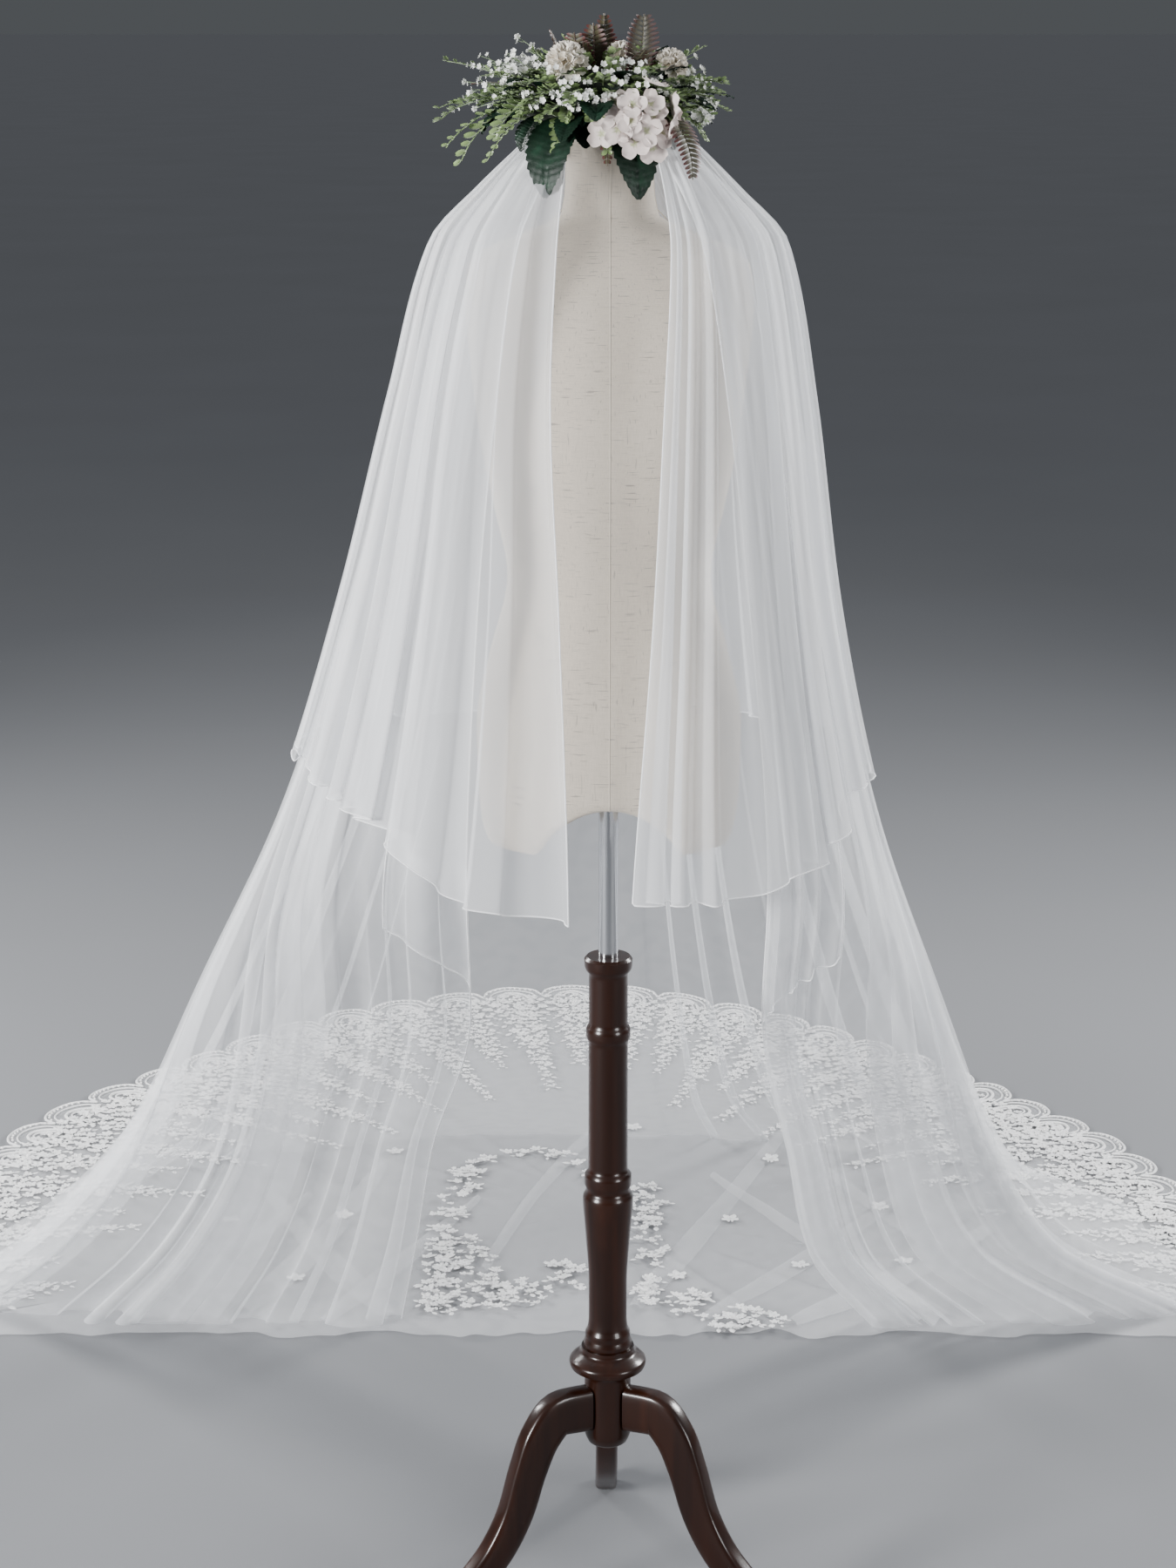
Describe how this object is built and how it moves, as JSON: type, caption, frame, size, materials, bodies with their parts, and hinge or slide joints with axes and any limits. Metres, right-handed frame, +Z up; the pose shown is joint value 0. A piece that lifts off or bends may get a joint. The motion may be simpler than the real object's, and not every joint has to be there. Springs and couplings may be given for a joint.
{
  "type": "bridal veil with a flower headpiece on a dress form with a tripod stand",
  "caption": "Sheer tiered bridal veil with a flower headpiece and a long lace-edged train, open in front and hollow underneath, draped over a limbless dress form on a turned wooden stand.",
  "frame": {"origin": "middle of the footprint, on the floor under the train", "axes": "+Z up, the open front of the veil towards -Y, the train runs out towards +Y, +X to the right as seen from the front"},
  "size_m": [2.229, 2.6307, 2.0295],
  "materials": {
    "tulle": "sheer soft net",
    "lace": "embroidered net",
    "linen": "slubbed linen",
    "chrome": "polished",
    "wood": "dark gloss lacquer",
    "leaf": "satin artificial leaf",
    "fern": "satin artificial fern",
    "sprig": "satin artificial sprig",
    "blossom": "matt artificial petals"
  },
  "bodies": {
    "root": {"form_torso": "linen", "pole": "chrome", "column": "wood", "hub": "wood", "leg_rear": "wood", "leg_left": "wood", "leg_right": "wood", "veil_heading": "tulle", "long_tier": "tulle", "short_tier": "tulle", "short_tier_corner_left": "tulle", "short_tier_corner_right": "tulle", "train": "tulle", "lace_border": "lace", "lace_inner_band": "lace", "headpiece_base": "leaf", "hydrangea": "blossom", "carnation_left": "blossom", "rose_right": "blossom", "rose_far_right": "blossom", "blossom_left": "blossom", "blossom_right": "blossom", "blossom_back_left": "blossom", "blossom_back": "blossom", "blossom_back_right": "blossom", "leaf_front_left": "leaf", "leaf_front_middle": "leaf", "leaf_front_right": "leaf", "leaf_right": "leaf", "leaf_left": "leaf", "leaf_back_left": "leaf", "leaf_back_right": "leaf", "fern_up_left": "fern", "fern_up_right": "fern", "fern_up_small": "fern", "fern_right_low": "fern", "sprig_left_high": "sprig", "sprig_left_low": "sprig", "sprig_right_high": "sprig"}
  },
  "joints": []
}
